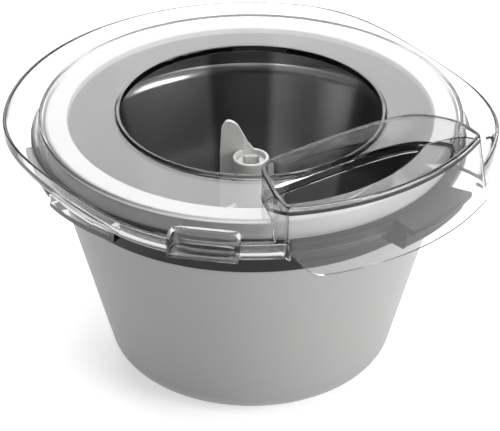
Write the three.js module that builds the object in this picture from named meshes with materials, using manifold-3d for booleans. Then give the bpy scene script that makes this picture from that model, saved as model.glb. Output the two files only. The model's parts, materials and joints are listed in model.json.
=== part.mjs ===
// Freezing-bowl ice cream maker attachment for a stand mixer: a double-walled bowl, a paddle,
// a locking support ring and a clear lid with a filling chute.
// Millimetres, +Z up. The origin is on the bowl's axis, at the centre of its flat base.
import * as THREE from 'three';
import { mergeVertices } from 'three/addons/utils/BufferGeometryUtils.js';
import Module from 'manifold-3d';

const wasm = await Module();
wasm.setup();

// ---- driving dimensions -------------------------------------------------------------------
const RIM_Z = 153; // height of the white top ring
const RIM_R = 117.5; // outer radius of the white top ring
const RIM_INNER_R = 105; // inner radius of the white top ring
const RIM_T = 2.5; // its plate thickness
const TAPER = 0.266; // radius gained by the bowl's wall per millimetre of height
const BASE_R = 80.1; // radius of the wall's line where it meets the floor
const BASE_FILLET = 17; // radius of the rounded bottom edge
const SHELL_T = 2.6; // outer wall
const INNER_T = 2; // inner metal wall
const INNER_FLOOR_Z = 14; // inside bottom of the freezing bowl
const GAP = 0.3; // clearance between touching pieces
const OPENING_R = 75; // lid's central opening
const LID_R = 142; // lid's outer rim
const LID_T = 2.2; // clear plastic wall
const LUG_HALF = 11; // half width of a locking lug, in degrees
const LOCK_TURN = 22; // turn that takes each lug over its hook, in degrees
const LUGS = [
  { angle: -40, ledge: 138.5, block: 133.5 },
  { angle: -160, ledge: 129.5, block: 124.8 },
  { angle: 80, ledge: 129.5, block: 124.8 },
];
const CHUTE_TOP = RIM_Z + 20; // chute rim
const CHUTE_FRONT_R = 139; // chute's front wall at its rim
const CHUTE_FROM = -79; // chute's ends round the axis, in degrees
const CHUTE_TO = -27;
const HUB_R = 10.5; // paddle hub
const HUB_TOP = RIM_Z - 28;
const BLADES = 3;
const ROUND = 54; // segments in a full turn of the bowl
const LID_ROUND = 84; // segments in a full turn of the lid

// ---- shared geometry helpers --------------------------------------------------------------
const rad = (degrees) => (degrees * Math.PI) / 180;

const finishes = {
  shell: { color: 0xb9b9b7, roughness: 0.35, metalness: 0.1 },
  dark: { color: 0x2b2c2e, roughness: 0.4, metalness: 0.1 },
  anodised: { color: 0x4a4a4b, roughness: 0.3, metalness: 0.8 },
  white: { color: 0xf1f1ee, roughness: 0.35, metalness: 0 },
  paddle: { color: 0xe4e4e1, roughness: 0.4, metalness: 0 },
  clear: { color: 0xdfe3e4, roughness: 0.05, metalness: 0, transparent: true, opacity: 0.35 },
  gel: { color: 0x8fb4cc, roughness: 0.6, metalness: 0 },
  rubber: { color: 0x38393a, roughness: 0.8, metalness: 0 },
};

// A closed three.js geometry as a manifold solid.
function solid(geometry) {
  const bare = (geometry.index ? geometry.toNonIndexed() : geometry).clone();
  bare.deleteAttribute('normal');
  bare.deleteAttribute('uv');
  const merged = mergeVertices(bare, 1e-3);
  const corners = merged.index.array;
  const kept = [];
  for (let i = 0; i < corners.length; i += 3) {
    const [a, b, c] = corners.slice(i, i + 3);
    if (a !== b && b !== c && c !== a) {
      kept.push(a, b, c);
    }
  }
  return new wasm.Manifold(
    new wasm.Mesh({
      numProp: 3,
      vertProperties: new Float32Array(merged.attributes.position.array),
      triVerts: new Uint32Array(kept),
    }),
  );
}

// A manifold solid as a named mesh.
function node(name, body, finish) {
  const mesh = body.getMesh();
  const geometry = new THREE.BufferGeometry();
  geometry.setAttribute('position', new THREE.BufferAttribute(mesh.vertProperties, 3));
  geometry.setIndex(new THREE.BufferAttribute(mesh.triVerts, 1));
  geometry.computeVertexNormals();
  const made = new THREE.Mesh(geometry, new THREE.MeshStandardMaterial(finishes[finish]));
  made.name = name;
  return made;
}

// Points along an arc in the (radius, height) plane, from one angle to another, in degrees.
function arc(r, z, radius, from, to, steps) {
  return Array.from({ length: steps + 1 }, (_, i) => {
    const a = rad(from + ((to - from) * i) / steps);
    return [r + radius * Math.cos(a), z + radius * Math.sin(a)];
  });
}

// A profile of [radius, height] points, anticlockwise, turned about +Z.
function turned(profile, segments = ROUND) {
  const points = profile.map(([r, z]) => new THREE.Vector2(r, z));
  const onAxis = profile[0][0] === 0 && profile.at(-1)[0] === 0;
  if (!onAxis) {
    points.push(points[0].clone());
  }
  const geometry = new THREE.LatheGeometry(points, segments);
  geometry.rotateX(Math.PI / 2);
  return geometry;
}

const turnedSolid = (profile, segments) => solid(turned(profile, segments));

// A plan outline of [x, y] points raised from one height to another.
function raised(outline, from, to) {
  const shape = new THREE.Shape(outline.map(([x, y]) => new THREE.Vector2(x, y)));
  const geometry = new THREE.ExtrudeGeometry(shape, { depth: to - from, bevelEnabled: false });
  geometry.translate(0, 0, from);
  return geometry;
}

const polar = (r, degrees) => [r * Math.cos(rad(degrees)), r * Math.sin(rad(degrees))];

// The plan outline of a ring sector.
function sectorOutline(inner, outer, from, to, steps = 8) {
  const side = (r, a, b) =>
    Array.from({ length: steps + 1 }, (_, i) => polar(r, a + ((b - a) * i) / steps));
  return [...side(outer, from, to), ...side(inner, to, from)];
}

const sector = (inner, outer, from, to, low, high) =>
  solid(raised(sectorOutline(inner, outer, from, to), low, high));

// ---- freezing bowl ------------------------------------------------------------------------
const wallR = (z) => BASE_R + TAPER * z;
const slope = Math.hypot(1, TAPER);
const WALL_ANGLE = -(Math.atan(TAPER) * 180) / Math.PI;

// The tapered wall with its rounded bottom edge, moved inwards by an offset.
function outerProfile(offset, top) {
  const fillet = BASE_FILLET - offset;
  const centre = wallR(BASE_FILLET) - BASE_FILLET * slope;
  const bend = arc(centre, BASE_FILLET, fillet, -90, WALL_ANGLE, 5);
  return [...bend, [wallR(top) - offset * slope, top]];
}

const SHOULDER_Z = RIM_Z - 14.5; // where the rim ring's skirt ends
const NECK_R = RIM_R - 2.8;
const NECK_T = 2.4;
const NECK_TOP = RIM_Z - 7;
const PLUG_AT = 45; // distance of the filler plug from the axis
const PLUG_R = 5.9;

function outerShell() {
  const profile = [
    [0, 0],
    ...outerProfile(0, SHOULDER_Z),
    [NECK_R, SHOULDER_Z],
    [NECK_R, NECK_TOP],
    [NECK_R - NECK_T, NECK_TOP],
    [NECK_R - NECK_T, SHOULDER_Z - 2],
    ...outerProfile(SHELL_T, SHOULDER_Z - 8).reverse(),
    [0, SHELL_T],
  ];
  const hole = new THREE.CylinderGeometry(PLUG_R + GAP, PLUG_R + GAP, 3 * SHELL_T, 24);
  hole.rotateX(Math.PI / 2);
  hole.translate(0, PLUG_AT, 0);
  return turnedSolid(profile).subtract(solid(hole));
}

const INNER_WALL_TOP = [100, RIM_Z - 26]; // top of the tapered inner wall
const MOUTH_R = 104.2; // inner radius above the step
const STEP_Z = RIM_Z - 20.5;
const FLANGE_LOW = NECK_TOP + 1.5;
const FLANGE_T = 1.5;
const FLANGE_R = NECK_R - 0.2;
const INNER_FILLET = 12;
const BOSS_R = 5; // pivot raised in the middle of the bowl's floor
const BOSS_H = 10;
const innerR = (z) => INNER_WALL_TOP[0] - TAPER * (INNER_WALL_TOP[1] - z);

// The inside surface from the floor to the mouth, moved outwards by an offset.
function innerProfile(offset) {
  const z = INNER_FLOOR_Z + INNER_FILLET;
  const centre = innerR(z) - INNER_FILLET * slope;
  const bend = arc(centre, z, INNER_FILLET + offset, -90, WALL_ANGLE, 4);
  return [
    ...bend,
    [INNER_WALL_TOP[0] + offset, INNER_WALL_TOP[1]],
    [MOUTH_R + offset, STEP_Z - offset * 0.5],
  ];
}

function innerBowl() {
  const low = INNER_FLOOR_Z - INNER_T;
  const profile = [
    [0, low],
    ...innerProfile(INNER_T),
    [MOUTH_R + INNER_T, FLANGE_LOW],
    [FLANGE_R, FLANGE_LOW],
    [FLANGE_R, FLANGE_LOW + FLANGE_T],
    [MOUTH_R, FLANGE_LOW + FLANGE_T],
    ...innerProfile(0).reverse(),
    [BOSS_R, INNER_FLOOR_Z],
    [BOSS_R, INNER_FLOOR_Z + BOSS_H - 1],
    [BOSS_R - 1, INNER_FLOOR_Z + BOSS_H],
    [0, INNER_FLOOR_Z + BOSS_H],
  ];
  return turnedSolid(profile);
}

function coolantFill() {
  const top = SHOULDER_Z - 9;
  const outside = outerProfile(SHELL_T + GAP, top);
  const inside = innerProfile(INNER_T + GAP).filter(([, z]) => z < top);
  const profile = [
    [0, SHELL_T + GAP],
    ...outside,
    [MOUTH_R + INNER_T - 1, top],
    ...inside.reverse(),
    [0, INNER_FLOOR_Z - INNER_T - GAP],
  ];
  const pocket = new THREE.CylinderGeometry(PLUG_R, PLUG_R, 14, 24);
  pocket.rotateX(Math.PI / 2);
  pocket.translate(0, PLUG_AT, 0);
  return turnedSolid(profile).subtract(solid(pocket));
}

function fillerPlug() {
  const head = [[0, 0.5], [PLUG_R, 0.5], [PLUG_R, 2.4], [PLUG_R - 1.5, 2.4]];
  const stem = [[PLUG_R - 1.5, 5.6], [PLUG_R - 2.3, 6.4], [0, 6.4]];
  return turnedSolid([...head, ...stem], 24).translate([0, PLUG_AT, 0]);
}

function rimRing() {
  const under = RIM_Z - RIM_T;
  return turnedSolid([
    [RIM_INNER_R, FLANGE_LOW + FLANGE_T + GAP],
    [RIM_INNER_R + 1.6, FLANGE_LOW + FLANGE_T + GAP],
    [RIM_INNER_R + 1.6, under],
    [RIM_R - 2.4, under],
    [RIM_R - 2.4, SHOULDER_Z + GAP],
    [RIM_R, SHOULDER_Z + GAP],
    [RIM_R, RIM_Z - 1],
    [RIM_R - 1, RIM_Z],
    [RIM_INNER_R + 0.6, RIM_Z],
    [RIM_INNER_R, RIM_Z - 0.6],
  ]);
}

// A flat gasket between two radii and two heights.
const gasket = (inner, outer, low, high) =>
  turnedSolid([[inner, low], [outer, low], [outer, high], [inner, high]], 42);

// The gasket between the metal bowl's flange and the rim ring.
const innerSeal = () => gasket(108.5, 111.5, FLANGE_LOW + FLANGE_T + GAP, RIM_Z - RIM_T - GAP);

// The gasket between the outer shell's neck and the flange.
const outerSeal = () => gasket(NECK_R - NECK_T + 0.1, NECK_R - 0.1, NECK_TOP + GAP, FLANGE_LOW - GAP);

// ---- support ring with its three locking lugs ------------------------------------------------
const RING_TOP = RIM_Z - 11.5;
const RING_LOW = RIM_Z - 35;
const RING_R = 124;
const RING_GAP = 0.5; // clearance between the bowl and the ring that turns on it

function supportRing() {
  const collar = turnedSolid([
    [wallR(RING_LOW) + RING_GAP, RING_LOW],
    [113.4, RING_LOW],
    [114.4, RING_LOW + 1.2],
    [114.6, RING_LOW + 9],
    [RING_R, RING_TOP - 5],
    [RING_R, RING_TOP],
    [RIM_R + 0.6, RING_TOP],
    [RIM_R + RING_GAP, SHOULDER_Z],
    [wallR(SHOULDER_Z - 2) + RING_GAP, SHOULDER_Z - 2],
  ]);
  return LUGS.reduce((body, lug) => body.add(lugBody(lug)), collar);
}

// A lug: a thin ledge that the lid's hook takes, over a block that tapers down to the collar.
function lugBody({ angle, ledge, block }) {
  const profile = [
    [114.5, RIM_Z - 28],
    [block - 2.5, RIM_Z - 27],
    [block, RIM_Z - 24],
    [block, RING_TOP - 3.6],
    [ledge, RING_TOP - 3.6],
    [ledge, RING_TOP],
    [RIM_R + 2, RING_TOP],
  ];
  const wedge = sector(100, 150, angle - LUG_HALF, angle + LUG_HALF, RIM_Z - 40, RIM_Z);
  return turnedSolid(profile).intersect(wedge);
}

// ---- clear lid ------------------------------------------------------------------------------
const PLATE_LOW = RIM_Z + 0.6;
const PLATE_TOP = PLATE_LOW + LID_T;
const LIP_TOP = PLATE_TOP + 1.9;
const STEP_R = 119.6; // where the plate turns down outside the white ring
const GUTTER_R = 122.4;
const GUTTER_LOW = RING_TOP + GAP;
const GUTTER_TOP = GUTTER_LOW + LID_T;
const LID_EDGE_TOP = RIM_Z + 0.6;
const FLATS = [
  { angle: 34, depth: 15, half: 44 },
  { angle: -142, depth: 10, half: 38 },
];

// Radius of the lid's outer edge at an angle: a circle with two eased flats.
function lidEdge(degrees) {
  return FLATS.reduce((r, { angle, depth, half }) => {
    const off = Math.abs(((degrees - angle + 540) % 360) - 180);
    const drop = off < half ? (depth * (1 + Math.cos((Math.PI * off) / half))) / 2 : 0;
    return r - drop;
  }, LID_R);
}

// Moves everything outside the gutter's inner edge so that the rim follows the lid's outline.
function toLidOutline(geometry) {
  const at = geometry.attributes.position;
  for (let i = 0; i < at.count; i += 1) {
    const [x, y] = [at.getX(i), at.getY(i)];
    const r = Math.hypot(x, y);
    if (r > GUTTER_R + 1) {
      const edge = lidEdge((Math.atan2(y, x) * 180) / Math.PI);
      const start = GUTTER_R + 1;
      const k = (start + ((r - start) * (edge - start)) / (LID_R - start)) / r;
      at.setXY(i, x * k, y * k);
    }
  }
  return geometry;
}

function lidShell() {
  return solid(
    toLidOutline(
      turned(
        [
          [OPENING_R, PLATE_LOW],
          [STEP_R, PLATE_LOW],
          [GUTTER_R, GUTTER_LOW],
          [LID_R - 1.4, GUTTER_LOW],
          [LID_R, GUTTER_LOW + 1.4],
          [LID_R, LID_EDGE_TOP - 0.8],
          [LID_R - 0.8, LID_EDGE_TOP],
          [LID_R - LID_T, LID_EDGE_TOP],
          [LID_R - LID_T - 0.4, GUTTER_TOP],
          [GUTTER_R + 2, GUTTER_TOP],
          [STEP_R + 1.6, PLATE_TOP],
          [OPENING_R + 2.6, PLATE_TOP],
          [OPENING_R + 2.2, LIP_TOP],
          [OPENING_R + 0.4, LIP_TOP],
        ],
        LID_ROUND,
      ),
    ),
  );
}

const HOOK_LOW = RING_TOP - 6.6;
const HOOK_FOOT_T = 2.4;
const HOOK_WALL = 2.2;

// A hook beside each lug: a hanging wall with an inward foot, closed by a stop at its far end.
function lidHook({ angle, ledge, block }) {
  const wall = ledge + 0.6;
  const foot = block + 0.8;
  const from = angle + LUG_HALF + 2;
  const to = angle + LOCK_TURN + LUG_HALF + 3;
  return sector(wall, wall + HOOK_WALL, from, to, HOOK_LOW, GUTTER_LOW + 1)
    .add(sector(foot, wall + HOOK_WALL, from, to, HOOK_LOW, HOOK_LOW + HOOK_FOOT_T))
    .add(sector(foot, wall + HOOK_WALL, to - 1.4, to, HOOK_LOW, GUTTER_LOW + 1));
}

const GRIP = { angle: -100.5, half: 20, inner: 127, corner: 9 };

// A rounded outline, open outwards, that the rim follows round the finger grip.
function gripOutline(inset) {
  const inner = GRIP.inner + inset;
  const half = GRIP.half - inset;
  const corner = GRIP.corner - inset;
  const bend = (cx, cy, from) => arc(cx, cy, corner, from, from + 90, 5);
  const points = [
    [LID_R + 8, half],
    ...bend(inner + corner, half - corner, 90),
    ...bend(inner + corner, corner - half, 180),
    [LID_R + 8, -half],
  ];
  const turn = rad(GRIP.angle);
  return points.map(([x, y]) => [
    x * Math.cos(turn) - y * Math.sin(turn),
    x * Math.sin(turn) + y * Math.cos(turn),
  ]);
}

function lidPanel() {
  const gripTop = GUTTER_TOP + 6;
  const reach = LID_R - 0.6;
  const inside = turnedSolid([[0, GUTTER_LOW], [reach, GUTTER_LOW], [reach, gripTop], [0, gripTop]]);
  const gripWall = solid(raised(gripOutline(0), GUTTER_LOW, gripTop)).intersect(inside);
  const gripSpace = solid(raised(gripOutline(LID_T), GUTTER_TOP, gripTop + 20));
  const hooks = LUGS.reduce((body, lug) => (body ? body.add(lidHook(lug)) : lidHook(lug)), null);
  return lidShell()
    .add(gripWall)
    .subtract(gripSpace)
    .add(hooks)
    .subtract(chuteBlock(GAP, GUTTER_LOW - 20, CHUTE_TOP));
}

// ---- filling chute --------------------------------------------------------------------------
const CHUTE_DRAFT = 0.0012; // growth of the chute's plan per millimetre below its rim
const HOLE_R = 104; // front edge of the hole that drops into the bowl
const CHUTE_LOW = RIM_Z - 10.5;
const POCKET_LOW = RIM_Z - 20; // bottom of the skirt that covers the first lug
const THROAT_LOW = RIM_Z - 3;

// The chute's plan at its rim: a back wall bowed across the lid and a front wall round the axis.
function chuteOutline(inset) {
  const front = CHUTE_FRONT_R - inset;
  const back = new THREE.SplineCurve(
    [
      [127.5 - inset, -60],
      [118 - inset * 0.6, -45.5 - inset],
      [104, -37.2 - inset],
      [89, -35 - inset],
      [71.5 - inset * 0.2, -42.3 - inset],
      [51.7, -54.6 - inset * 1.1],
      [26.7, -72.2 - inset * 1.1],
      [11 + inset * 0.5, -84 - inset * 1.1],
      [5.4 + inset, -91.5 - inset * 0.6],
      [6.5 + inset, -100],
      [13 + inset, -124],
    ].map(([x, y]) => new THREE.Vector2(x, y)),
  ).getPoints(36);
  const steps = 22;
  const from = CHUTE_FROM - 3 + (180 * inset) / (Math.PI * front);
  const to = CHUTE_TO + 1 - (180 * inset) / (Math.PI * front);
  const arcPoints = Array.from({ length: steps + 1 }, (_, i) =>
    polar(front, from + ((to - from) * i) / steps),
  );
  return [...arcPoints, ...back.map(({ x, y }) => [x, y])];
}

// The chute's outline as a block that widens downwards from its rim.
function chuteBlock(outset, low, high) {
  const geometry = raised(chuteOutline(-outset), low, high);
  const at = geometry.attributes.position;
  for (let i = 0; i < at.count; i += 1) {
    const k = 1 + CHUTE_DRAFT * (CHUTE_TOP - at.getZ(i));
    at.setXY(i, at.getX(i) * k, at.getY(i) * k);
  }
  return solid(geometry);
}

// Everything inside a cone that rises outwards from the hole's front edge to the chute's rim.
function aboveRamp(shift, low, high) {
  return turnedSolid([
    [0, low],
    [HOLE_R + shift, low],
    [HOLE_R + shift, PLATE_LOW + 1 - shift],
    [CHUTE_FRONT_R - 2 + shift, CHUTE_TOP - 3 - shift],
    [CHUTE_FRONT_R + 12, CHUTE_TOP + 2],
    [CHUTE_FRONT_R + 12, high],
    [0, high],
  ]);
}

function fillingChute() {
  const high = CHUTE_TOP + 12;
  const outside = chuteBlock(0, POCKET_LOW - 1, CHUTE_TOP);
  const hollow = chuteBlock(-LID_T, POCKET_LOW - 3, high);
  const funnel = hollow.intersect(aboveRamp(0, POCKET_LOW - 4, high));
  const underside = hollow.subtract(aboveRamp(LID_T, POCKET_LOW - 5, high + 5));
  const clearance = turnedSolid([
    [0, POCKET_LOW - 8],
    [170, POCKET_LOW - 8],
    [170, POCKET_LOW],
    [LID_R - 2, POCKET_LOW],
    [LID_R - 2, CHUTE_LOW],
    [GUTTER_R, CHUTE_LOW],
    [STEP_R, PLATE_LOW],
    [HOLE_R - 4, PLATE_LOW],
    [HOLE_R - 5, THROAT_LOW],
    [0, THROAT_LOW],
  ]);
  return outside.subtract(funnel).subtract(underside).subtract(clearance);
}

// ---- paddle ---------------------------------------------------------------------------------
const SOCKET_R = 8.3;
const SOCKET_DEPTH = 13;
const PADDLE_LOW = INNER_FLOOR_Z + 2.5;
const FOOT_R = 22;

function paddleHub() {
  const bore = BOSS_R + 0.6;
  const boreTop = INNER_FLOOR_Z + BOSS_H + 3;
  const cup = SOCKET_R + GAP;
  return turnedSolid(
    [
      [0, boreTop],
      [bore, boreTop],
      [bore, PADDLE_LOW],
      [FOOT_R, PADDLE_LOW],
      [FOOT_R, PADDLE_LOW + 3],
      [15, PADDLE_LOW + 22],
      [HUB_R + 0.8, PADDLE_LOW + 60],
      [HUB_R, HUB_TOP - 4],
      [HUB_R, HUB_TOP - 0.6],
      [HUB_R - 0.6, HUB_TOP],
      [cup, HUB_TOP],
      [cup, HUB_TOP - SOCKET_DEPTH],
      [0, HUB_TOP - SOCKET_DEPTH],
    ],
    48,
  );
}

const BLADE_T = 3.2;
const BLADE_BEND_R = 95; // radius of each blade's curve in plan
const BLADE_START = 100; // angle of the first blade, in degrees
const WALL_GAP = 2.5; // running clearance between the blades and the bowl

// A blade's plan: a band along an arc that leaves the hub radially and trails as it goes out.
function bladeOutline() {
  const band = (r, from, to) => arc(0, -BLADE_BEND_R, r, from, to, 10);
  const outer = band(BLADE_BEND_R + BLADE_T / 2, 84, 26);
  const inner = band(BLADE_BEND_R - BLADE_T / 2, 26, 84);
  return [...outer.reverse(), ...inner.reverse()];
}

// The space the blades sweep: clear of the bowl's floor and wall, and stepped down outwards.
function bladeSweep() {
  const low = PADDLE_LOW;
  return turnedSolid([
    [0, low],
    [innerR(low) - WALL_GAP - 8, low],
    [innerR(low + 9) - WALL_GAP, low + 9],
    [innerR(56) - WALL_GAP, 56],
    [innerR(62) - WALL_GAP - 6, 62],
    [46, 74],
    [24, 92],
    [0, 96],
  ]);
}

// A tall fin beside the hub that keeps the mix off the drive.
function hubFin() {
  const shape = new THREE.Shape(
    [
      [-18.5, 70],
      [4, 70],
      [4, HUB_TOP - 3],
      [-1.5, HUB_TOP + 4],
      [-8, HUB_TOP + 17],
      [-14, HUB_TOP + 20],
      [-17, HUB_TOP + 14],
      [-18, HUB_TOP - 4],
    ].map(([x, z]) => new THREE.Vector2(x, z)),
  );
  const geometry = new THREE.ExtrudeGeometry(shape, { depth: 2.4, bevelEnabled: false });
  geometry.rotateX(Math.PI / 2);
  geometry.translate(0, HUB_R - 0.6, 0);
  const cup = new THREE.CylinderGeometry(SOCKET_R + GAP, SOCKET_R + GAP, 80, 48);
  cup.rotateX(Math.PI / 2);
  cup.translate(0, 0, HUB_TOP - SOCKET_DEPTH + 40);
  return solid(geometry).subtract(solid(cup));
}

function paddle() {
  const bore = new THREE.CylinderGeometry(BOSS_R + 0.6, BOSS_R + 0.6, 40, 48);
  bore.rotateX(Math.PI / 2);
  bore.translate(0, 0, INNER_FLOOR_Z + BOSS_H + 3 - 20);
  let blades = paddleHub();
  for (let i = 0; i < BLADES; i += 1) {
    const blade = raised(bladeOutline(), PADDLE_LOW - 5, HUB_TOP);
    blade.rotateZ(rad(BLADE_START + (360 * i) / BLADES));
    blades = blades.add(solid(blade).intersect(bladeSweep()).subtract(solid(bore)));
  }
  return blades.add(hubFin());
}

const NUBS = 4;

// The square drive socket: an octagonal recess between four corner nubs.
function driveSocket() {
  const low = HUB_TOP - SOCKET_DEPTH + GAP;
  const high = HUB_TOP - 3;
  const across = 5.4;
  const recess = new THREE.CylinderGeometry(across, across, 2 * SOCKET_DEPTH, 8);
  recess.rotateX(Math.PI / 2);
  recess.rotateZ(rad(22.5));
  recess.translate(0, 0, low + 3 + SOCKET_DEPTH);
  let body = turnedSolid([[0, low], [SOCKET_R, low], [SOCKET_R, high], [0, high]], 48);
  body = body.subtract(solid(recess));
  for (let i = 0; i < NUBS; i += 1) {
    const slot = new THREE.BoxGeometry(2.4, 2.4, 2 * SOCKET_DEPTH);
    slot.translate(across + 0.4, 0, low + 3 + SOCKET_DEPTH);
    slot.rotateZ(rad(45 + (360 * i) / NUBS));
    body = body.subtract(solid(slot));
  }
  return body;
}

// ---- assembly -------------------------------------------------------------------------------
const model = new THREE.Group();
const bowl = new THREE.Group();
const lid = new THREE.Group();
const mixer = new THREE.Group();
bowl.add(
  node('outer_shell', outerShell(), 'shell'),
  node('inner_bowl', innerBowl(), 'anodised'),
  node('coolant_fill', coolantFill(), 'gel'),
  node('rim_ring', rimRing(), 'white'),
  node('filler_plug', fillerPlug(), 'rubber'),
  node('inner_seal', innerSeal(), 'rubber'),
  node('outer_seal', outerSeal(), 'rubber'),
);
lid.add(node('lid_panel', lidPanel(), 'clear'), node('filling_chute', fillingChute(), 'clear'));
mixer.add(node('paddle', paddle(), 'paddle'), node('drive_socket', driveSocket(), 'paddle'));
model.add(bowl, node('support_ring', supportRing(), 'dark'), lid, mixer);

export default model;
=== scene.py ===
"""Looks for a freezing-bowl ice cream maker attachment, built round its CAD frame.

The bowl, ring, lid, chute and paddle are finer than the frame's solids and stand for them.
"""
import json
import math

import bmesh
import bpy
from mathutils import Matrix, Vector

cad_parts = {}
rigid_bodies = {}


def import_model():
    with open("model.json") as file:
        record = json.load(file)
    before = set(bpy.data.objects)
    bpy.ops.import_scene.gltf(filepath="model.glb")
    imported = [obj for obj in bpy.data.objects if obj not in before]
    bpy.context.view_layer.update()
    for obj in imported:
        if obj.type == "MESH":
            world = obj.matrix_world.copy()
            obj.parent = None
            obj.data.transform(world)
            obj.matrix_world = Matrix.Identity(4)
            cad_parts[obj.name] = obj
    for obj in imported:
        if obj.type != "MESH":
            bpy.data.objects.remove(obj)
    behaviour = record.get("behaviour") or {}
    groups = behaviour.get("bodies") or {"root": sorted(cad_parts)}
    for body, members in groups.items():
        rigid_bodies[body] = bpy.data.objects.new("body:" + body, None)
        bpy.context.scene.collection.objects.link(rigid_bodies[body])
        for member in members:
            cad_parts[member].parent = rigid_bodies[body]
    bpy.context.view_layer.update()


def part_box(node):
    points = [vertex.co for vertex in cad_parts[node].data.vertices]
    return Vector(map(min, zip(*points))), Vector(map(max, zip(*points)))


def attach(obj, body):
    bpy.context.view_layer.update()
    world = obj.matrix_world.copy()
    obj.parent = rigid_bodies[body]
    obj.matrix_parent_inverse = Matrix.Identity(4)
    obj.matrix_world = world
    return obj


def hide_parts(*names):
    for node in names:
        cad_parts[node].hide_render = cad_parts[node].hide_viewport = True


bl_info = {
    "name": "Ice cream maker attachment",
    "version": (1, 0, 0),
    "blender": (4, 5, 0),
    "location": "3D View > Sidebar > Ice Cream",
    "description": "Builds a freezing bowl with its paddle, support ring, clear lid and filling chute",
    "category": "Add Mesh",
}

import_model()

MM = 0.001
RING_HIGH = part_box("rim_ring")[1]
RIM_Z = RING_HIGH.z
RIM_R = RING_HIGH.x
SUPPORT_LOW, SUPPORT_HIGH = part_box("support_ring")
CHUTE_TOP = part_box("filling_chute")[1].z
PADDLE_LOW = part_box("paddle")[0]
SOCKET_LOW, SOCKET_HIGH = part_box("drive_socket")

TAPER = 0.266
BASE_R = 80.1 * MM
BASE_FILLET = 17 * MM
TAPER_LENGTH = math.hypot(1, TAPER)
SHOULDER_Z = RIM_Z - 14.5 * MM
MOUTH_R = 104.2 * MM
STEP_Z = RIM_Z - 20.5 * MM
WALL_TOP = (100 * MM, RIM_Z - 26 * MM)
FLOOR_Z = 14 * MM
INNER_FILLET = 12 * MM

OPENING_R = 75 * MM
LID_R = 142 * MM
PLATE_LOW = RIM_Z + 0.6 * MM
GUTTER_R = 122.4 * MM
GUTTER_LOW = RIM_Z - 11.2 * MM
FLATS = ((34, 15 * MM, 44), (-142, 10 * MM, 38))
LUG_HALF = 11
LOCK_TURN = 22
LUGS = ((-40, 138.5 * MM, 133.5 * MM), (-160, 129.5 * MM, 124.8 * MM), (80, 129.5 * MM, 124.8 * MM))

CHUTE_FRONT_R = 139 * MM
CHUTE_DRAFT = 1.2
CHUTE_FROM, CHUTE_TO = -82, -26
CHUTE_SOFTNESS = 10  # rounds of smoothing that ease the chute's corners in plan
HOLE_R = 104 * MM

# Painted reflections on the spun metal: brightness of its colour round the bowl, from the left by the front
# and right to the back.
PAINTED_METAL_REFLECTIONS = (
    (0.0, 0.35), (0.2, 0.3), (0.21, 1), (0.29, 1), (0.3, 0.28), (0.55, 0.3), (0.64, 0.35), (0.648, 1),
    (0.728, 0.9), (0.736, 0.26), (0.79, 0.24), (0.798, 0.85), (0.89, 1), (0.898, 0.3), (1.0, 0.35))


# ---- sizes and colours that a user would change -------------------------------------------

class BowlSettings(bpy.types.PropertyGroup):
    wall: bpy.props.FloatProperty(
        name="Outer wall", description="Thickness of the outer wall",
        default=2.6 * MM, unit="LENGTH")
    metal: bpy.props.FloatProperty(
        name="Inner wall", description="Thickness of the metal inner wall",
        default=2 * MM, unit="LENGTH")
    segments: bpy.props.IntProperty(
        name="Segments", description="Faces round a full turn", default=160, min=24)
    shell_colour: bpy.props.FloatVectorProperty(
        name="Shell", description="Colour of the outer wall",
        default=(0.29, 0.29, 0.287), subtype="COLOR")
    metal_colour: bpy.props.FloatVectorProperty(
        name="Inner metal", description="Colour of the coated inner bowl",
        default=(0.36, 0.36, 0.364), subtype="COLOR")
    rim_colour: bpy.props.FloatVectorProperty(
        name="Rim", description="Colour of the ring that caps the walls",
        default=(0.42, 0.42, 0.413), subtype="COLOR")


class RingSettings(bpy.types.PropertyGroup):
    colour: bpy.props.FloatVectorProperty(
        name="Ring", description="Colour of the support ring",
        default=(0.014, 0.014, 0.015), subtype="COLOR")


class LidSettings(bpy.types.PropertyGroup):
    wall: bpy.props.FloatProperty(
        name="Wall", description="Thickness of the clear plastic", default=2.2 * MM, unit="LENGTH")
    tint: bpy.props.FloatVectorProperty(
        name="Tint", description="Colour of light that has passed through the plastic",
        default=(0.95, 0.955, 0.955), subtype="COLOR")
    segments: bpy.props.IntProperty(
        name="Segments", description="Faces round a full turn", default=240, min=48)


class PaddleSettings(bpy.types.PropertyGroup):
    blades: bpy.props.IntProperty(
        name="Blades", description="Number of curved blades", default=3, min=2)
    blade: bpy.props.FloatProperty(
        name="Blade", description="Thickness of a blade", default=3.2 * MM, unit="LENGTH")
    colour: bpy.props.FloatVectorProperty(
        name="Paddle", description="Colour of the paddle",
        default=(0.68, 0.68, 0.665), subtype="COLOR")


class StageSettings(bpy.types.PropertyGroup):
    distance: bpy.props.FloatProperty(
        name="Camera distance", description="From the camera to the point it looks at",
        default=1.5, unit="LENGTH")
    pitch: bpy.props.FloatProperty(
        name="Camera pitch", description="How far the camera looks down",
        default=math.radians(31.455), subtype="ANGLE")
    floor_glow: bpy.props.FloatProperty(
        name="Floor glow", description="Light from under the pale table top", default=0.5, min=0)
    lens: bpy.props.FloatProperty(
        name="Lens", description="Focal length, in millimetres", default=184.27)


# ---- mesh tools ------------------------------------------------------------------------------

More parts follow.
